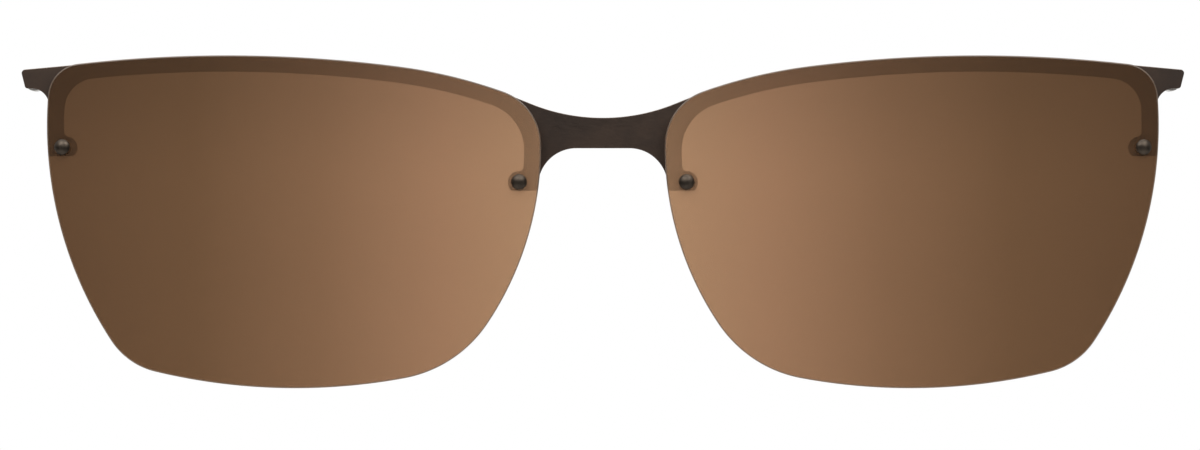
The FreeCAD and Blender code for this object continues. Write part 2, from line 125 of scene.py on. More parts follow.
def thinned(line, gap, turn=math.radians(4)):
    """Keeps a point of a closed line every gap, and sooner where the line has turned."""
    kept = [0]
    heading = np.unwrap(np.arctan2(*(np.roll(line, -1, axis=0) - line).T[::-1]))
    for number in range(1, len(line)):
        apart = np.hypot(*(line[number] - line[kept[-1]]))
        if apart > gap or apart > 2 * FINE and abs(heading[number] - heading[kept[-1]]) > turn:
            kept.append(number)
    return line[kept]


def on_layer(flat, radius):
    """Places in space, and normals to the front, where a curved layer shows the flat points."""
    aside = np.sign(flat[:, 0]) * np.maximum(np.abs(flat[:, 0]) - SPHERE_X, 0)
    rise = flat[:, 1] - SPHERE_Z
    depth = np.sqrt(radius ** 2 - aside ** 2 - rise ** 2)
    places = np.stack([flat[:, 0], SPHERE_Y - depth, flat[:, 1]], axis=1)
    return places, np.stack([aside, -depth, rise], axis=1) / radius


def drill_axis(x, z, side):
    """Where a fixing's axis leaves the metal's back face, and its direction to the front. The
    axis passes the middle of the metal at (x, z) in the front view."""
    middle = (METAL_BACK + METAL_FRONT) / 2
    places, normals = on_layer(np.array([[side * x, z]]), middle)
    normal = Vector(normals[0])
    return Vector(places[0]) + normal * (METAL_BACK - middle), normal


def drilled(x, z, side, radius):
    """Round hole along a fixing's axis, as a closed clockwise line for each curved layer."""
    place, normal = drill_axis(x, z, side)
    turn = Vector((0, -1, 0)).rotation_difference(normal)
    round_ring = [turn @ Vector((math.cos(angle), 0, -math.sin(angle))) * radius
                  for angle in np.linspace(0, 2 * math.pi, 48, endpoint=False)]

    def ring(layer):
        points = [place + normal * (layer - METAL_BACK) + spoke for spoke in round_ring]
        return np.array([(point.x, point.z) for point in points])
    return ring


def flat_fill(loops, spacing):
    """Triangles between closed lines, with more points spread over the area. Returns the added
    points and the triangles, which count the lines' points first."""
    border = np.concatenate(loops)
    low, high = border.min(0), border.max(0)
    columns, rows = (np.arange(low[axis], high[axis], spacing) for axis in (0, 1))
    spread = np.array([(x + (number % 2) * spacing / 2, z)
                       for number, z in enumerate(rows) for x in columns])
    nearest = np.array([np.hypot(*(border - point).T).min() for point in spread])
    spread = spread[nearest > 0.55 * spacing]
    areas, start = [], 0
    for loop in loops:
        areas.append(list(range(start, start + len(loop))))
        start += len(loop)
    points = [Vector(point) for point in np.concatenate([border, spread])]
    _, _, triangles, _, _, _ = delaunay_2d_cdt(points, [], areas, 2, 1e-6)
    used = sorted({corner for triangle in triangles for corner in triangle if corner >= start})
    place_of = {corner: start + number for number, corner in enumerate(used)}
    fills = [tuple(place_of.get(corner, corner) for corner in triangle) for triangle in triangles]
    return spread[[corner - start for corner in used]], fills


def curved_plate(name, loops, back, front, edge_round, spacing, materials):
    """Plate between two curved layers, with rounded edges. Each loop gives a closed line for a
    layer, with the material on its left. The attribute edge is 0 on the faces and 1 on the
    walls, and the walls take the last material."""
    steps = np.linspace(0, math.pi / 2, 5)
    rows = [(step, front - edge_round * (1 - math.cos(step)), 1) for step in steps]
    rows += [(step, back + edge_round * (1 - math.cos(step)), -1) for step in steps[::-1]]
    vertices, normals, edge, faces = [], [], [], []
    first, last, start = [], [], 0
    for loop in loops:
        for step, layer, facing in rows:
            flat = loop(layer)
            along = np.roll(flat, -1, axis=0) - np.roll(flat, 1, axis=0)
            along /= np.hypot(*along.T)[:, None]
            outward = np.stack([along[:, 1], -along[:, 0]], axis=1)
            places, faced = on_layer(flat - outward * edge_round * (1 - math.sin(step)), layer)
            across = np.stack([outward[:, 0], 0 * outward[:, 0], outward[:, 1]], axis=1)
            vertices.append(places)
            normals.append(facing * math.cos(step) * faced + math.sin(step) * across)
            edge.append(np.full(len(flat), math.sin(step)))
        count = len(flat)
        for row in range(len(rows) - 1):
            here, below = start + row * count, start + (row + 1) * count
            faces += [(here + one, below + one,
                       below + (one + 1) % count, here + (one + 1) % count)
                      for one in range(count)]
        first.append(np.arange(start, start + count))
        last.append(np.arange(start, start + count) + (len(rows) - 1) * count)
        start += len(rows) * count
    walls = len(faces)
    flat_all = np.concatenate(vertices)[:, [0, 2]]
    for rings, layer, facing in ((first, front, 1), (last, back, -1)):
        spread, fills = flat_fill([flat_all[ring] for ring in rings], spacing)
        numbers = np.concatenate(rings + [np.arange(start, start + len(spread))])
        faces += [tuple(int(numbers[corner]) for corner in triangle[::facing])
                  for triangle in fills]
        places, faced = on_layer(spread, layer)
        vertices.append(places)
        normals.append(facing * faced)
        edge.append(np.zeros(len(spread)))
        start += len(spread)
    mesh = bpy.data.meshes.new(name)
    mesh.from_pydata(np.concatenate(vertices) * MM, [], faces)
    mesh.attributes.new("edge", "FLOAT", "POINT").data.foreach_set("value", np.concatenate(edge))
    for material in materials:
        mesh.materials.append(material)
    mesh.polygons.foreach_set("material_index", [len(materials) - 1] * walls
                              + [0] * (len(faces) - walls))
    mesh.polygons.foreach_set("use_smooth", [True] * len(faces))
    aimed = np.concatenate(normals)
    mesh.normals_split_custom_set_from_vertices(aimed / np.linalg.norm(aimed, axis=1)[:, None])
    mesh.update()
    piece = bpy.data.objects.new(name, mesh)
    bpy.context.scene.collection.objects.link(piece)
    return piece


class Wire:
    """A socket in a node tree. Arithmetic on it adds Math nodes, and node() adds any other."""

    def __init__(self, tree, socket=None):
        self.tree, self.socket = tree, socket

    def node(self, kind, settings=None, inputs=None, output=0):
        """Adds a node. Settings go in first, then the values or wires of its sockets."""
        made = self.tree.nodes.new(kind)
        for name, setting in (settings or {}).items():
            if name == "stops":
                while len(made.color_ramp.elements) < len(setting):
                    made.color_ramp.elements.new(1.0)
                for stop, (at, colour) in zip(made.color_ramp.elements, setting):
                    stop.position, stop.color = at, (*colour, 1.0)
            else:
                setattr(made, name, setting)
        for name, given in (inputs or {}).items():
            if isinstance(given, Wire):
                self.tree.links.new(given.socket, made.inputs[name])
            else:
                made.inputs[name].default_value = given
        return Wire(self.tree, made.outputs[output])

    def math(self, operation, *terms):
        return self.node("ShaderNodeMath", {"operation": operation}, dict(enumerate(terms)))

    def vector(self, operation, *terms):
        output = 1 if operation == "LENGTH" else 0
        return self.node("ShaderNodeVectorMath", {"operation": operation},
                         dict(enumerate(terms)), output)

    def blend(self, share, one, two):
        """A colour between two, at the given share of the second."""
        return self.node("ShaderNodeMix", {"data_type": "RGBA"}, {0: share, 6: one, 7: two}, 2)

    def noise(self, where, scale, detail=3.0):
        """Even noise from 0 to 1, with scale in cells for each metre."""
        return self.node("ShaderNodeTexNoise", None,
                         {"Vector": where, "Scale": scale, "Detail": detail, "Roughness": 0.6})

    def between(self, low, high):
        """0 where the wire is low or less, 1 where it is high or more, and smooth between."""
        return self.node("ShaderNodeMapRange", {"interpolation_type": "SMOOTHSTEP"},
                         {"Value": self, "From Min": low, "From Max": high})

    def __add__(self, other):
        return self.math("ADD", self, other)

    def __radd__(self, other):
        return self.math("ADD", other, self)

    def __sub__(self, other):
        return self.math("SUBTRACT", self, other)

    def __rsub__(self, other):
        return self.math("SUBTRACT", other, self)

    def __mul__(self, other):
        return self.math("MULTIPLY", self, other)

    def __rmul__(self, other):
        return self.math("MULTIPLY", other, self)

    def __truediv__(self, other):
        return self.math("DIVIDE", self, other)

    def __rtruediv__(self, other):
        return self.math("DIVIDE", other, self)


def new_material(name):
    """An empty material, a wire to build on, and where its pieces' points are."""
    material = bpy.data.materials.new(name)
    material.use_nodes = True
    material.node_tree.nodes.clear()
    start = Wire(material.node_tree)
    return material, start, start.node("ShaderNodeTexCoord", output="Object")


def surfaced(start, inputs):
    """Ends a material in one Principled surface."""
    shader = start.node("ShaderNodeBsdfPrincipled", None, inputs)
    end = start.tree.nodes.new("ShaderNodeOutputMaterial")
    start.tree.links.new(shader.socket, end.inputs["Surface"])


# The resin is dyed brown all through. Light is painted into its colour: it is lighter towards the
# nose, and a little darker towards the brow as painted shade. The faces are polished.
tint_with_painted_light, start, where = new_material("brown_lens_tint_painted_light")
across = start.math("ABSOLUTE", start.node("ShaderNodeSeparateXYZ", None, {0: where}, 0))
height = start.node("ShaderNodeSeparateXYZ", None, {0: where}, 2)
to_temple = (across / MM - LENS_NOSE) / (LENS_TEMPLE - LENS_NOSE)
# Painted light: this ramp makes the brown lighter towards the nose and darker towards the temple.
brown_with_painted_light = start.node("ShaderNodeValToRGB", {"stops": [
    (0.00, (0.445, 0.263, 0.148)),
    (0.20, (0.373, 0.208, 0.117)),
    (0.45, (0.253, 0.137, 0.072)),
    (0.70, (0.172, 0.091, 0.044)),
    (1.00, (0.133, 0.069, 0.033)),
]}, {0: to_temple})
haze = start.noise(where, 60.0, 2.0)
# Painted shade: the upper part of each lens is darkened a little towards the brow.
painted_brow_shade = 0.2 * height.between(-7 * MM, 10 * MM)
surfaced(start, {
    "Base Color": start.blend(painted_brow_shade, brown_with_painted_light, (0, 0, 0, 1)), "Roughness": 0.01 * haze, "IOR": 1.5,
    "Transmission Weight": 0.65,
})

# The wheel leaves the edge satin, with fine lines across it.
ground_edge, start, where = new_material("ground_lens_edge")
lines = start.noise(start.vector("MULTIPLY", where, (1.0, 0.05, 1.0)), 9000.0, 2.0)
surfaced(start, {
    "Base Color": start.blend(lines, (0.17, 0.115, 0.078, 1), (0.27, 0.185, 0.125, 1)),
    "Roughness": 0.35 + 0.15 * lines, "IOR": 1.5, "Transmission Weight": 0.6,
    "Normal": start.node("ShaderNodeBump", None, {"Strength": 0.3, "Distance": 4e-6,
                                                  "Height": lines}),
})

NOSE_FIXING, TEMPLE_FIXING = (9.6, -5.67), (61.7, -1.67)
LENS_HOLE, LENS_ROUND = 0.72, 0.14
LINE_GAP, LENS_MESH = 0.4, 1.3                  # spacing of points on outlines and on the faces
lens_line = thinned(rim_outline(0, 0, 0, BROW_NOSE, BROW_TEMPLE), LINE_GAP)
for side_name, side in (("left", 1), ("right", -1)):
    outline = lens_line if side == 1 else lens_line[::-1] * (-1, 1)
    holes = [drilled(*spot, side, LENS_HOLE) for spot in (NOSE_FIXING, TEMPLE_FIXING)]
    lens = curved_plate(f"sun_lens_{side_name}", [lambda layer, line=outline: line, *holes],
                        LENS_BACK, LENS_FRONT, LENS_ROUND, LENS_MESH, [tint_with_painted_light, ground_edge])
    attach(lens, "root")
    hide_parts(f"lens_{side_name}")


# ---- Front frame ------------------------------------------------------------------------------
# Bridge, two half rims with eyelets, and two end tabs in one piece. It is stamped from 0.8 mm
# sheet, curved, tumbled so that its edges are soft, and plated dark bronze with a satin finish.
def line(start, end):
    """Points along a straight run, both ends included."""
    start, end = np.array(start, float), np.array(end, float)
    count = max(int(np.hypot(*(end - start)) / FINE), 2)
    return start + np.linspace(0, 1, count)[:, None] * (end - start)


def stretch(outline, start, end):
    """Part of a closed line, in its own direction, from nearest start to nearest end."""
    first, last = (int(np.hypot(*(outline - place).T).argmin()) for place in (start, end))
    return np.roll(outline, -first, axis=0)[:(last - first) % len(outline) + 1]


def joined(runs):
    """One open line from runs of points. Each comes with how far back from its end the corner
    to the next run is rounded."""
    whole = runs[0][0]
    for (_, reach), (following, _) in zip(runs, runs[1:]):
        if reach:
            corner = (whole[-1] + following[0]) / 2
            whole = whole[np.hypot(*(whole - corner).T) > reach]
            following = following[np.hypot(*(following - corner).T) > reach]
            share = np.linspace(0, 1, max(int(2 * reach / FINE), 8))[1:-1, None]
            bend = ((1 - share) ** 2 * whole[-1] + 2 * share * (1 - share) * corner
                    + share ** 2 * following[0])
            whole = np.concatenate([whole, bend, following])
        else:
            whole = np.concatenate([whole, following[1:]])
    return whole


def edge_fillet(side_circle, away, level, radius):
    """Hollow fillet between a level edge and the half rim's side: its centre, its end on the
    level edge and its end on the side."""
    centre, side = side_circle
    rise = level - radius - centre[1]
    reach = math.sqrt((side + radius) ** 2 - rise ** 2)
    middle = np.array([centre[0] + away * reach, level - radius])
    meeting = centre + (middle - centre) * side / (side + radius)
    return middle, np.array([middle[0], level]), meeting


INSET = 0.1                                     # outer edge inside the lens's
RIM_BROW, RIM_NOSE, RIM_TEMPLE = 1.9, 1.95, 2.05        # inner edge inside the lens's
RIM_NOSE_CORNER, RIM_TEMPLE_CORNER = 5.5, 3.6
EYELET, METAL_HOLE = 1.3, 0.55
EYELET_TAIL = 0.97                              # eyelets are cut off level, this far below
BRIDGE_HALF, BRIDGE_ARC, BRIDGE_FILLET = 1.75, 22.0, 4.4
# The bridge's top arc ends in a straight run, which lands on the half rim.
BRIDGE_TOP_END, BRIDGE_LAND = 8.1, (11.2, 4.523)
TAB_TIP, TAB_TOP, TAB_BOTTOM, TAB_ROOT = 67.05, 7.38, 5.18, (57.0, 8.22)
TAB_SLANT, TAB_ROUND, TAB_FILLET = 0.45, 0.45, 2.0
METAL_ROUND, METAL_MESH = 0.07, 1.2
outer = rim_outline(INSET, INSET, INSET, BROW_NOSE - INSET, BROW_TEMPLE - INSET)
inner = rim_outline(RIM_BROW, RIM_NOSE, RIM_TEMPLE, RIM_NOSE_CORNER, RIM_TEMPLE_CORNER)[::-1]
under, under_end, bridge_foot = edge_fillet(nose_circle(INSET), -1, -BRIDGE_HALF,
                                            BRIDGE_FILLET)
hollow, tab_start, tab_foot = edge_fillet(temple_circle(INSET), 1, TAB_BOTTOM, TAB_FILLET)
nose_eye, temple_eye = np.array(NOSE_FIXING), np.array(TEMPLE_FIXING)
cut_reach = math.sqrt(EYELET ** 2 - EYELET_TAIL ** 2)
nose_cut, temple_cut = (eye + (away * cut_reach, -EYELET_TAIL)
                        for eye, away in ((nose_eye, 1), (temple_eye, -1)))
half_way = (LENS_NOSE + LENS_TEMPLE) / 2
nose_end, temple_end = (side[np.abs(side[:, 1] - cut[1]).argmin()]
                        for side, cut in ((outer[outer[:, 0] < half_way], nose_cut),
                                          (outer[outer[:, 0] > half_way], temple_cut)))
near_eyes = [inner[np.hypot(*(inner - eye).T) < EYELET] for eye in (nose_eye, temple_eye)]
nose_meet, temple_meet = (near[near[:, 1].argmax()] for near in near_eyes)
top_arc = (0, BRIDGE_HALF + BRIDGE_ARC)
top_end = np.array([BRIDGE_TOP_END,
                    top_arc[1] - math.sqrt(BRIDGE_ARC ** 2 - BRIDGE_TOP_END ** 2)])
land, root = (outer[np.hypot(*(outer - spot).T).argmin()] for spot in (BRIDGE_LAND, TAB_ROOT))
tab_corner, tab_side = (TAB_TIP - TAB_SLANT, TAB_BOTTOM), (TAB_TIP, TAB_TOP - TAB_ROUND)
tab_round, tab_brow = (TAB_TIP - TAB_ROUND, TAB_TOP - TAB_ROUND), (TAB_TIP - TAB_ROUND, TAB_TOP)
half_front = joined([
    (line((0, -BRIDGE_HALF), under_end), 0),
    (arc(under, BRIDGE_FILLET, bridge_foot, under_end)[::-1], 0),
    (stretch(outer, bridge_foot, nose_end), 0.25),
    (line(nose_end, nose_cut), 0.12),
    (arc(nose_eye, EYELET, nose_cut, nose_meet), 0.6),
    (stretch(inner, nose_meet, temple_meet), 0.6),
    (arc(temple_eye, EYELET, temple_meet, temple_cut), 0.12),
    (line(temple_cut, temple_end), 0.25),
    (stretch(outer, temple_end, tab_foot), 0),
    (arc(hollow, TAB_FILLET, tab_start, tab_foot)[::-1], 0),
    (line(tab_start, tab_corner), 0.3),
    (line(tab_corner, tab_side), 0.08),
    (arc(tab_round, TAB_ROUND, tab_side, tab_brow), 0.08),
    (line(tab_brow, root), 1.0),
    (stretch(outer, root, land), 0.8),
    (line(land, top_end), 0),
    (arc(top_arc, BRIDGE_ARC, (0, BRIDGE_HALF), top_end)[::-1], 0),
])
front_line = thinned(np.concatenate([half_front[:-1], half_front[:0:-1] * (-1, 1)]), LINE_GAP)

# The plating is brushed from side to side, a little cloudy, and rubbed lighter on its edges.
plating, start, where = new_material("satin_bronze_plating")
worn = start.node("ShaderNodeAttribute", {"attribute_name": "edge"}, output="Fac")
clouds = start.noise(where, 160.0, 4.0)
grain = start.noise(start.vector("MULTIPLY", where, (0.05, 1.0, 1.0)), 24000.0, 2.0)
specks = start.noise(where, 14000.0, 2.0)
rubbed = worn.between(0.3, 0.9) * (0.25 + 0.75 * start.noise(where, 700.0).between(0.35, 0.65))
brushed = grain.between(0.3, 0.7)
bronze = start.blend(clouds.between(0.35, 0.65),
                     (0.081, 0.059, 0.048, 1), (0.115, 0.079, 0.060, 1))
bronze = start.blend(0.32 * brushed, bronze, (0.034, 0.027, 0.023, 1))
surfaced(start, {
    "Base Color": start.blend(0.5 * rubbed, bronze, (0.24, 0.19, 0.15, 1)),
    "Metallic": 0.9, "Roughness": 0.32 + 0.18 * brushed - 0.1 * rubbed,
    "Coat Weight": 0.15, "Coat Roughness": 0.25,
    "Normal": start.node("ShaderNodeBump", None, {
        "Strength": 0.5, "Distance": 3e-6, "Height": 0.6 * grain + 0.4 * specks}),
})

eyelet_holes = [drilled(*spot, side, METAL_HOLE) for spot in (NOSE_FIXING, TEMPLE_FIXING)
                for side in (1, -1)]
front_frame = curved_plate("metal_front", [lambda layer: front_line, *eyelet_holes],
                           METAL_BACK, METAL_FRONT, METAL_ROUND, METAL_MESH, [plating])
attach(front_frame, "root")
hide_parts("front_frame")


# ---- Turned pieces ----------------------------------------------------------------------------
# Everything round on this clip is turned on a lathe and sits on an axis that stands square to
# the curved metal. One tree spins a half profile and sets the result on each of the axes.
SEGMENTS = 64                   # round each axis
CREASE = math.radians(50)       # edges that bend more than this stay sharp


def lathe_tree(name, slotted):
    """Spins the mesh line of its Profile object, X its distance from the axis and Z its level,
    and puts it on each point of the geometry, turned by the point's turn attribute. A slotted
    piece has a sawn slot across its axis."""
    tree = bpy.data.node_groups.new(name, "GeometryNodeTree")
    tree.is_modifier = True
    for socket, kind in (("Geometry", "Geometry"), ("Profile", "Object"), ("Segments", "Int"),
                         ("Slot Level", "Float"), ("Slot Width", "Float"),
                         ("Slot Depth", "Float"), ("Slot Length", "Float"),
                         ("Finish", "Material")):
        tree.interface.new_socket(socket, in_out="INPUT", socket_type=f"NodeSocket{kind}")
    tree.interface.new_socket("Geometry", in_out="OUTPUT", socket_type="NodeSocketGeometry")
    start = Wire(tree)
    given = tree.nodes.new("NodeGroupInput")
    asked = {socket.name: Wire(tree, socket) for socket in given.outputs if socket.name}
    profile = start.node("GeometryNodeObjectInfo", None, {"Object": asked["Profile"]}, "Geometry")
    count = start.node("GeometryNodeAttributeDomainSize", None, {"Geometry": profile})
    grid = start.node("GeometryNodeMeshGrid", None, {
        "Size X": 1.0, "Size Y": 1.0, "Vertices X": asked["Segments"] + 1, "Vertices Y": count})
    index = start.node("GeometryNodeInputIndex")
    column = start.math("FLOOR", (index + 0.5) / count)
    row = index - column * count
    place = start.node("GeometryNodeInputPosition")
    spot = start.node("GeometryNodeSampleIndex", {"data_type": "FLOAT_VECTOR"}, {
        "Geometry": profile, "Value": place, "Index": row})
    far = start.node("ShaderNodeSeparateXYZ", None, {0: spot}, 0)
    level = start.node("ShaderNodeSeparateXYZ", None, {0: spot}, 2)
    angle = column * (2 * math.pi) / asked["Segments"]
    spun = start.node("GeometryNodeSetPosition", None, {
        "Geometry": grid, "Position": start.node("ShaderNodeCombineXYZ", None, {
            "X": far * start.math("COSINE", angle), "Y": far * start.math("SINE", angle),
            "Z": level})})
    marked = start.node("GeometryNodeStoreNamedAttribute", {"data_type": "FLOAT_VECTOR"}, {
        "Geometry": spun, "Name": "turning", "Value": start.node(
            "GeometryNodeInputPosition")})
    closed = start.node("GeometryNodeMergeByDistance", None, {
        "Geometry": marked, "Distance": 1e-7})
    if slotted:
        box = start.node("GeometryNodeMeshCube", None, {
            "Size": start.node("ShaderNodeCombineXYZ", None, {
                "X": asked["Slot Length"], "Y": asked["Slot Width"],
                "Z": 2 * asked["Slot Depth"]})})
        set_in = start.node("GeometryNodeTransform", None, {
            "Geometry": box, "Translation": start.node("ShaderNodeCombineXYZ", None, {
                "Z": asked["Slot Level"]})})
        closed = start.node("GeometryNodeMeshBoolean", {
            "operation": "DIFFERENCE", "solver": "EXACT"}, {
            "Mesh 1": closed, "Mesh 2": set_in})
    turn = start.node("GeometryNodeInputNamedAttribute", {"data_type": "FLOAT_VECTOR"}, {
        "Name": "turn"})
    placed = start.node("GeometryNodeInstanceOnPoints", None, {
        "Points": asked["Geometry"], "Instance": closed,
        "Rotation": start.node("FunctionNodeEulerToRotation", None, {0: turn})})
    real = start.node("GeometryNodeRealizeInstances", None, {"Geometry": placed})
    smooth = start.node("GeometryNodeSetShadeSmooth", None, {"Geometry": real})
    slope = start.node("GeometryNodeInputMeshEdgeAngle")
    creased = start.node("GeometryNodeSetShadeSmooth", {"domain": "EDGE"}, {
        "Geometry": smooth, "Shade Smooth": False,
        "Selection": start.math("GREATER_THAN", slope, CREASE)})
    finished = start.node("GeometryNodeSetMaterial", None, {
        "Geometry": creased, "Material": asked["Finish"]})
    end = tree.nodes.new("NodeGroupOutput")
    tree.links.new(finished.socket, end.inputs[0])
    return tree


def soft_profile(corners, closed, reach=0.05):
    """Half profile with its corners rounded, but not the two ends of an open one. Each straight
    run keeps a point near both its ends, so that its shading stays flat."""
    points, last = [], len(corners) - 1
    steps, flank = 6, 1.4       # points round a corner, and how far off the points beside it are
    for number, corner in enumerate(corners):
        corner = np.array(corner, float)
        if not closed and number in (0, last):
            points.append(corner)
            continue
        before = np.array(corners[number - 1], float) - corner
        after = np.array(corners[(number + 1) % len(corners)], float) - corner
        room = min(reach, 0.4 * np.hypot(*before), 0.4 * np.hypot(*after))
        enter = corner + before / np.hypot(*before) * room
        leave = corner + after / np.hypot(*after) * room
        points.append(corner + (enter - corner) * flank)
        for share in np.linspace(0, 1, steps):
            points.append((1 - share) ** 2 * enter + 2 * share * (1 - share) * corner
                          + share ** 2 * leave)
        points.append(corner + (leave - corner) * flank)
    return points + points[:1] if closed else points


def turned(name, profile, axes, finish, nodes, slotted=None):
    """Pieces of one kind, spun from one half profile and set on all their axes."""
    mesh = bpy.data.meshes.new(f"{name}_profile")
    mesh.from_pydata([(far * MM, 0, level * MM) for far, level in profile],
                     [(number, number + 1) for number in range(len(profile) - 1)], [])
    line_object = bpy.data.objects.new(f"{name}_profile", mesh)
    bpy.context.scene.collection.objects.link(line_object)
    spots = bpy.data.meshes.new(name)
    spots.from_pydata([place * MM for place, _ in axes], [], [])
    turns = []
    for _, normal in axes:
        side = Vector((1, 0, 0)) - normal * normal.x
        side.normalize()
        columns = Matrix((side, normal.cross(side), normal)).transposed()
        turns += list(columns.to_euler())
    spots.attributes.new("turn", "FLOAT_VECTOR", "POINT").data.foreach_set("vector", turns)
    piece = bpy.data.objects.new(name, spots)
    bpy.context.scene.collection.objects.link(piece)
    tree = lathe_tree(f"{name}_lathe", slotted is not None)
    maker = piece.modifiers.new("lathe", "NODES")
    maker.node_group = tree
    sizes = {"Profile": line_object, "Segments": SEGMENTS, "Finish": finish}
    sizes.update({key: size * MM for key, size in (slotted or {}).items()})
    for socket in tree.interface.items_tree:
        if socket.in_out == "INPUT" and socket.name in sizes:
            maker[socket.identifier] = sizes[socket.name]
    bpy.context.view_layer.update()
    made = bpy.data.meshes.new_from_object(piece.evaluated_get(
        bpy.context.evaluated_depsgraph_get()))
    made.materials.clear()
    made.materials.append(finish)
    made.polygons.foreach_set("material_index", [0] * len(made.polygons))
    piece.modifiers.remove(maker)
    piece.data = made
    bpy.data.objects.remove(line_object)
    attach(piece, "root")
    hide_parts(*nodes)


def lathe_marks(start, pitch):
    """Fine rings left by the tool, at this pitch in millimetres, a little uneven."""
    spot = start.node("ShaderNodeAttribute", {"attribute_name": "turning"}, output="Vector")
    flat = start.vector("MULTIPLY", spot, (1.0, 1.0, 0.0))
    ring = start.vector("LENGTH", flat) + start.node("ShaderNodeSeparateXYZ", None, {0: spot}, 2)
    uneven = start.node("ShaderNodeTexNoise", {"noise_dimensions": "1D"}, {
        "W": ring, "Scale": 1 / (pitch * MM), "Detail": 3.0})
    return uneven


fixing_axes = [drill_axis(*spot, side) for spot in (NOSE_FIXING, TEMPLE_FIXING)
               for side in (1, -1)]
fixing_names = [f"{end}_{side}" for end in ("nose", "temple") for side in ("left", "right")]

# ---- Screws -----------------------------------------------------------------------------------
# Slotted M1 screws of plain steel go through the eyelets from behind, heads on the metal's back.
# They are turned with a small bevel round the head, and the slot is sawn.
SHANK, SCREW_TIP, SCREW_HEAD, HEAD_TOP, HEAD_EDGE = 0.5, 3.23, 0.9, -0.4, 0.12
SEAT = -0.01                    # heads and cups sit this far off the metal's back
steel, start, where = new_material("turned_steel")
marks = lathe_marks(start, 0.03)
dull = start.noise(where, 2500.0)
surfaced(start, {
    "Base Color": start.blend(dull, (0.36, 0.34, 0.32, 1), (0.52, 0.50, 0.47, 1)),
    "Metallic": 1.0, "Roughness": 0.2 + 0.18 * marks + 0.1 * dull,
    "Normal": start.node("ShaderNodeBump", None, {"Strength": 0.4, "Distance": 2e-6,
                                                  "Height": marks}),
})
turned("slotted_screws", soft_profile([
    (0, HEAD_TOP), (SCREW_HEAD - HEAD_EDGE, HEAD_TOP), (SCREW_HEAD, HEAD_TOP + HEAD_EDGE),
    (SCREW_HEAD, SEAT), (SHANK, SEAT), (SHANK, SCREW_TIP), (0, SCREW_TIP),
], False, 0.03), fixing_axes, steel, [f"screw_{name}" for name in fixing_names],
       slotted={"Slot Level": HEAD_TOP, "Slot Width": 0.26, "Slot Depth": 0.18,
                               "Slot Length": 2.2})

# ---- Washers and sleeves ----------------------------------------------------------------------
# Clear nylon washers on both faces of the lens keep the metal off it, and a clear sleeve lines
# each hole, so that the lens can't crack as the screw is tightened.
nylon, start, where = new_material("milky_nylon")
milky = start.noise(where, 1800.0)
surfaced(start, {
    "Base Color": start.blend(milky, (0.86, 0.84, 0.78, 1), (0.93, 0.92, 0.88, 1)),
    "Roughness": 0.18 + 0.14 * milky, "IOR": 1.53, "Transmission Weight": 0.8,
})
NYLON_BORE, WASHER, SLEEVE = 0.55, 0.84, 0.67
for name, outside, low, high, kind in (
        ("back_washers", WASHER, 0.81, 1.09, "washer_back"),
        ("lens_sleeves", SLEEVE, 1.1, 2.6, "lens_sleeve"),
        ("front_washers", WASHER, 2.61, 2.8, "washer_front")):
    turned(name, soft_profile([(NYLON_BORE, low), (outside, low), (outside, high),
                               (NYLON_BORE, high)], True),
           fixing_axes, nylon, [f"{kind}_{place}" for place in fixing_names])

# ---- Cap nuts ---------------------------------------------------------------------------------
# Round domed nuts close the fixings on the lens's front. They are turned from brass rod, blind
# bored and threaded, and plated in satin dark gunmetal.
gunmetal, start, where = new_material("gunmetal_plating")
marks = lathe_marks(start, 0.06)
cloud = start.noise(where, 1500.0)
surfaced(start, {
    "Base Color": start.blend(cloud.between(0.3, 0.7), (0.050, 0.040, 0.032, 1),
                              (0.088, 0.070, 0.054, 1)),
    "Metallic": 1.0, "Roughness": 0.36 + 0.12 * marks + 0.1 * cloud,
    "Normal": start.node("ShaderNodeBump", None, {"Strength": 0.25, "Distance": 2e-6,
                                                  "Height": marks}),
})
NUT_RADIUS, NUT_SEAT, SKIRT_TOP, DOME_TOP = 0.9, 2.8, 3.08, 3.53
NUT_BORE, BORE_END = 0.52, 3.28
DOME_RADIUS = (NUT_RADIUS ** 2 + (DOME_TOP - SKIRT_TOP) ** 2) / (2 * (DOME_TOP - SKIRT_TOP))
dome = [(DOME_RADIUS * math.sin(angle), DOME_TOP - DOME_RADIUS * (1 - math.cos(angle)))
        for angle in np.linspace(0.8, 0, 14)]
turned("cap_nuts", soft_profile([(0, BORE_END), (NUT_BORE, BORE_END), (NUT_BORE, NUT_SEAT),
                                 (NUT_RADIUS, NUT_SEAT), (NUT_RADIUS, SKIRT_TOP), dome[0]],
                                False)[:-1] + dome,
       fixing_axes, gunmetal, [f"cap_nut_{name}" for name in fixing_names])

# ---- Magnets ----------------------------------------------------------------------------------
# Behind each end tab a nickel-plated disc magnet is glued in a turned steel cup, and the cup is
# soldered to the tab. They hold the clip to the spectacles behind it.
MAGNET_SPOT = (65.7, 6.03)
CUP_RADIUS, CUP_POCKET, CUP_FLOOR, CUP_RIM = 1.1, 0.9, -0.26, -1.18
MAGNET_RADIUS, MAGNET_BACK, MAGNET_FRONT = 0.88, -1.28, -0.28
magnet_axes = [drill_axis(*MAGNET_SPOT, side) for side in (1, -1)]
satin, start, _ = new_material("satin_nickel_cup")
marks = lathe_marks(start, 0.05)
surfaced(start, {
    "Base Color": start.blend(marks, (0.62, 0.60, 0.57, 1), (0.74, 0.72, 0.69, 1)),
    "Metallic": 0.75, "Roughness": 0.42 + 0.2 * marks,
    "Normal": start.node("ShaderNodeBump", None, {"Strength": 0.4, "Distance": 3e-6,
                                                  "Height": marks}),
})
turned("magnet_cups", soft_profile([
    (0, CUP_FLOOR), (CUP_POCKET, CUP_FLOOR), (CUP_POCKET, CUP_RIM), (CUP_RADIUS, CUP_RIM),
    (CUP_RADIUS, SEAT), (0, SEAT)], False, 0.06),
       magnet_axes, satin, ["magnet_cup_left", "magnet_cup_right"])

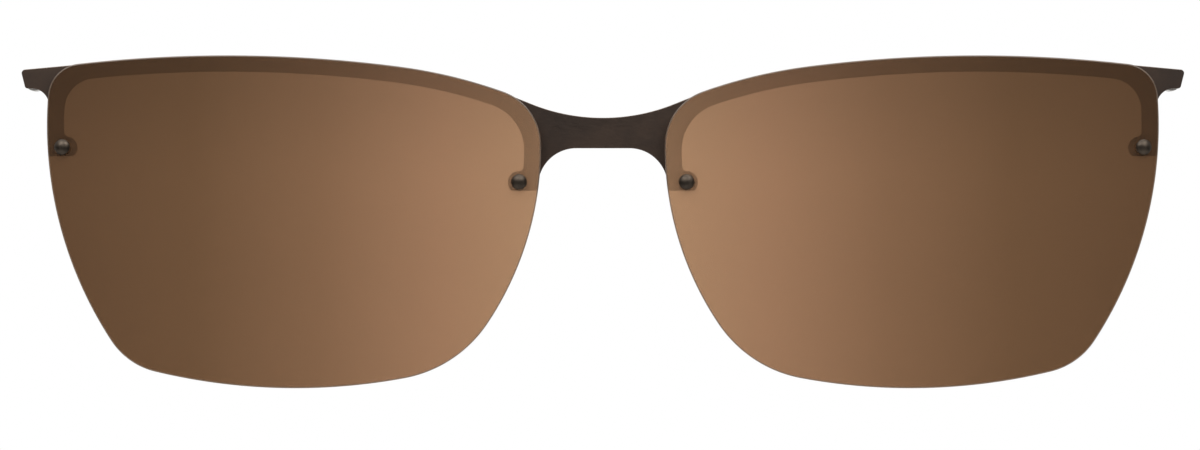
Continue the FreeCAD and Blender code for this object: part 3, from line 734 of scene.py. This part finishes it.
nickel, start, where = new_material("bright_nickel_magnet")
cells = start.noise(where, 5000.0, 4.0)
scuffs = start.noise(start.vector("MULTIPLY", where, (1.0, 0.2, 0.1)), 9000.0, 2.0)
surfaced(start, {
    "Base Color": start.blend(cells, (0.55, 0.53, 0.49, 1), (0.68, 0.66, 0.62, 1)),
    "Metallic": 1.0, "Roughness": 0.12 + 0.16 * scuffs.between(0.5, 0.75),
    "Normal": start.node("ShaderNodeBump", None, {"Strength": 0.3, "Distance": 4e-6,
                                                  "Height": cells}),
})
turned("disc_magnets", soft_profile([
    (0, MAGNET_BACK), (MAGNET_RADIUS, MAGNET_BACK), (MAGNET_RADIUS, MAGNET_FRONT),
    (0, MAGNET_FRONT)], False, 0.09),
       magnet_axes, nickel, ["magnet_left", "magnet_right"])

# ---- Studio -----------------------------------------------------------------------------------
# A round pale floor below the clip, which hangs clear of it, two soft boxes above the front at
# the sides and one overhead, and a long lens level with the middle of the clip.
FLOOR_RADIUS, FLOOR_LEVEL, FLOOR_CORNERS = 1.15, -0.06, 96      # metres
floor_paint, start, _ = new_material("pale_floor")
surfaced(start, {"Base Color": (0.62, 0.62, 0.61, 1), "Roughness": 0.7})
ring = [(FLOOR_RADIUS * math.cos(angle), FLOOR_RADIUS * math.sin(angle), FLOOR_LEVEL)
        for angle in np.linspace(0, 2 * math.pi, FLOOR_CORNERS, endpoint=False)]
floor_mesh = bpy.data.meshes.new("studio_floor")
floor_mesh.from_pydata(ring, [], [range(FLOOR_CORNERS)])
floor_mesh.materials.append(floor_paint)
floor = bpy.data.objects.new("studio_floor", floor_mesh)
bpy.context.scene.collection.objects.link(floor)
floor.visible_glossy = False

# The surroundings are white where the camera sees them, also through the lenses. For the rest
# they are white above, below and behind the clip, and dim in front of it.
world = bpy.data.worlds.new("studio")
world.use_nodes = True
world.node_tree.nodes.clear()
start = Wire(world.node_tree)
aim = start.node("ShaderNodeTexCoord", output="Generated")
up = start.node("ShaderNodeSeparateXYZ", None, {0: aim}, 2)
back = start.node("ShaderNodeSeparateXYZ", None, {0: aim}, 1)
seen = start.math("MAXIMUM", start.node("ShaderNodeLightPath", output="Is Camera Ray"),
                  start.node("ShaderNodeLightPath", output="Is Transmission Ray"))
open_side = start.math("MAXIMUM", start.math("ABSOLUTE", up).between(0.2, 0.75),
                       back.between(0.1, 0.6))
around = 0.12 + 0.78 * open_side
glow = start.node("ShaderNodeBackground", None, {
    "Color": (1, 1, 1, 1), "Strength": seen + (1 - seen) * around})
sky = world.node_tree.nodes.new("ShaderNodeOutputWorld")
world.node_tree.links.new(glow.socket, sky.inputs["Surface"])
bpy.context.scene.world = world

for name, place, size, watts in (
        ("soft_box_left", (0.35, -0.45, 0.60), 0.55, 3.8),
        ("soft_box_right", (-0.35, -0.45, 0.60), 0.55, 3.8),
        ("soft_box_top", (0.0, 0.15, 0.75), 0.70, 3.4)):
    lamp = bpy.data.lights.new(name, "AREA")
    lamp.shape, lamp.size, lamp.energy = "DISK", size, watts
    stand = bpy.data.objects.new(name, lamp)
    stand.location = place
    stand.rotation_euler = (-Vector(place)).to_track_quat("-Z", "Y").to_euler()
    bpy.context.scene.collection.objects.link(stand)

view = bpy.data.cameras.new("camera")
view.sensor_width, view.lens = 36.0, 391.8
view.clip_start, view.clip_end = 0.01, 20.0
camera = bpy.data.objects.new("camera", view)
camera.location = (-0.33 * MM, -1.5, -10.56 * MM)
camera.rotation_euler = Euler((math.pi / 2, 0, 0))
bpy.context.scene.collection.objects.link(camera)
bpy.context.scene.camera = camera
bpy.context.scene.view_settings.view_transform = "Standard"
